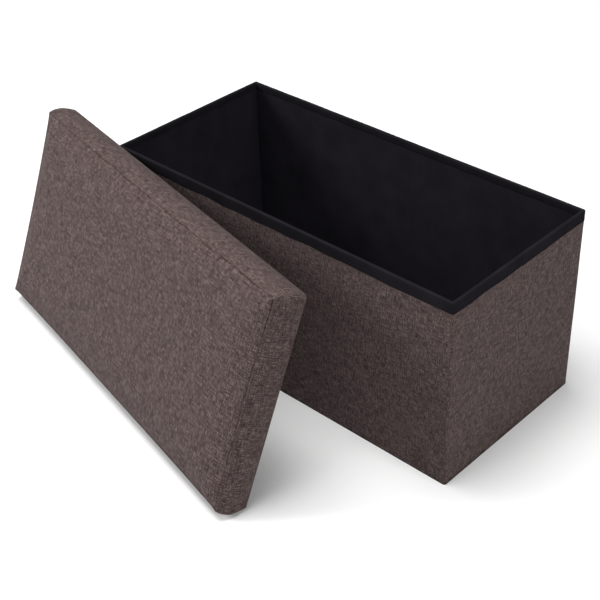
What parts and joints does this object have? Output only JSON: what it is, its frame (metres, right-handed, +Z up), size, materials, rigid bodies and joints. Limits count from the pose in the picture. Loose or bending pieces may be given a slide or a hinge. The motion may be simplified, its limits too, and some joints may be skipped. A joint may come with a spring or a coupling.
{
  "type": "storage bench",
  "caption": "Fabric-covered rectangular storage bench with folding walls and a padded cap lid taken off and leaning against its front corner.",
  "frame": {"origin": "on the floor, at the centre of the underside of the box", "axes": "+X along the box's length, -Y towards its front where the lid leans, +Z up"},
  "size_m": [0.9501, 0.6469, 0.375],
  "materials": {
    "linen": "heathered taupe woven linen",
    "edge_binding": "black non-woven binding",
    "lining_felt": "black non-woven lining",
    "fibreboard": "bare medium-density fibreboard",
    "foam": "open-cell cushion foam",
    "staple_steel": "galvanised wire"
  },
  "bodies": {
    "front_wall": {"front_board": "fibreboard", "front_cover": "linen", "front_lining": "lining_felt", "front_binding": "edge_binding", "bottom_cloth": "lining_felt", "bottom_hem": "linen"},
    "left_end_front_half": {"left_end_front_half_board": "fibreboard", "left_end_front_half_cover": "linen", "left_end_front_half_lining": "lining_felt", "left_end_front_half_binding": "edge_binding"},
    "left_end_back_half": {"left_end_back_half_board": "fibreboard", "left_end_back_half_cover": "linen", "left_end_back_half_lining": "lining_felt", "left_end_back_half_binding": "edge_binding"},
    "back_wall": {"back_board": "fibreboard", "back_cover": "linen", "back_lining": "lining_felt", "back_binding": "edge_binding"},
    "right_end_front_half": {"right_end_front_half_board": "fibreboard", "right_end_front_half_cover": "linen", "right_end_front_half_lining": "lining_felt", "right_end_front_half_binding": "edge_binding"},
    "right_end_back_half": {"right_end_back_half_board": "fibreboard", "right_end_back_half_cover": "linen", "right_end_back_half_lining": "lining_felt", "right_end_back_half_binding": "edge_binding"},
    "base_panel": {"base_board": "fibreboard", "base_board_sleeve": "lining_felt"},
    "lid": {"lid_deck_board": "fibreboard", "lid_front_rail": "fibreboard", "lid_back_rail": "fibreboard", "lid_left_rail": "fibreboard", "lid_right_rail": "fibreboard", "lid_staples": "staple_steel", "lid_foam_pad": "foam", "lid_top_panel": "linen", "lid_front_band": "linen", "lid_back_band": "linen", "lid_left_band": "linen", "lid_right_band": "linen", "lid_lining": "lining_felt"}
  },
  "joints": [
    {"name": "fold", "type": "hinge", "parent": "front_wall", "child": "left_end_front_half", "pos_m": [-0.365, -0.167, 0], "axis": [0, 0, -1], "range_deg": [0, 88]},
    {"name": "left_crease", "type": "hinge", "parent": "left_end_front_half", "child": "left_end_back_half", "pos_m": [-0.372, 0, 0], "axis": [0, 0, -1], "range_deg": [-176, 0]},
    {"name": "back_left_corner", "type": "hinge", "parent": "left_end_back_half", "child": "back_wall", "pos_m": [-0.365, 0.167, 0], "axis": [0, 0, -1], "range_deg": [0, 88]},
    {"name": "front_right_corner", "type": "hinge", "parent": "front_wall", "child": "right_end_front_half", "pos_m": [0.365, -0.167, 0], "axis": [0, 0, 1], "range_deg": [0, 88]},
    {"name": "back_right_corner", "type": "hinge", "parent": "back_wall", "child": "right_end_back_half", "pos_m": [0.365, 0.167, 0], "axis": [0, 0, -1], "range_deg": [0, 88]},
    {"name": "base_panel_lift", "type": "slide", "parent": "front_wall", "child": "base_panel", "axis": [0, 0, 1], "range_m": [0, 0.37]},
    {"name": "lid_lift", "type": "slide", "parent": "front_wall", "child": "lid", "axis": [0, 0, 1], "range_m": [0, 0.4]}
  ],
  "couplings": [
    {"joint": "left_crease", "follows": "fold", "ratio": -2},
    {"joint": "back_left_corner", "follows": "fold", "ratio": 1},
    {"joint": "front_right_corner", "follows": "fold", "ratio": 1},
    {"joint": "back_right_corner", "follows": "fold", "ratio": 1}
  ]
}
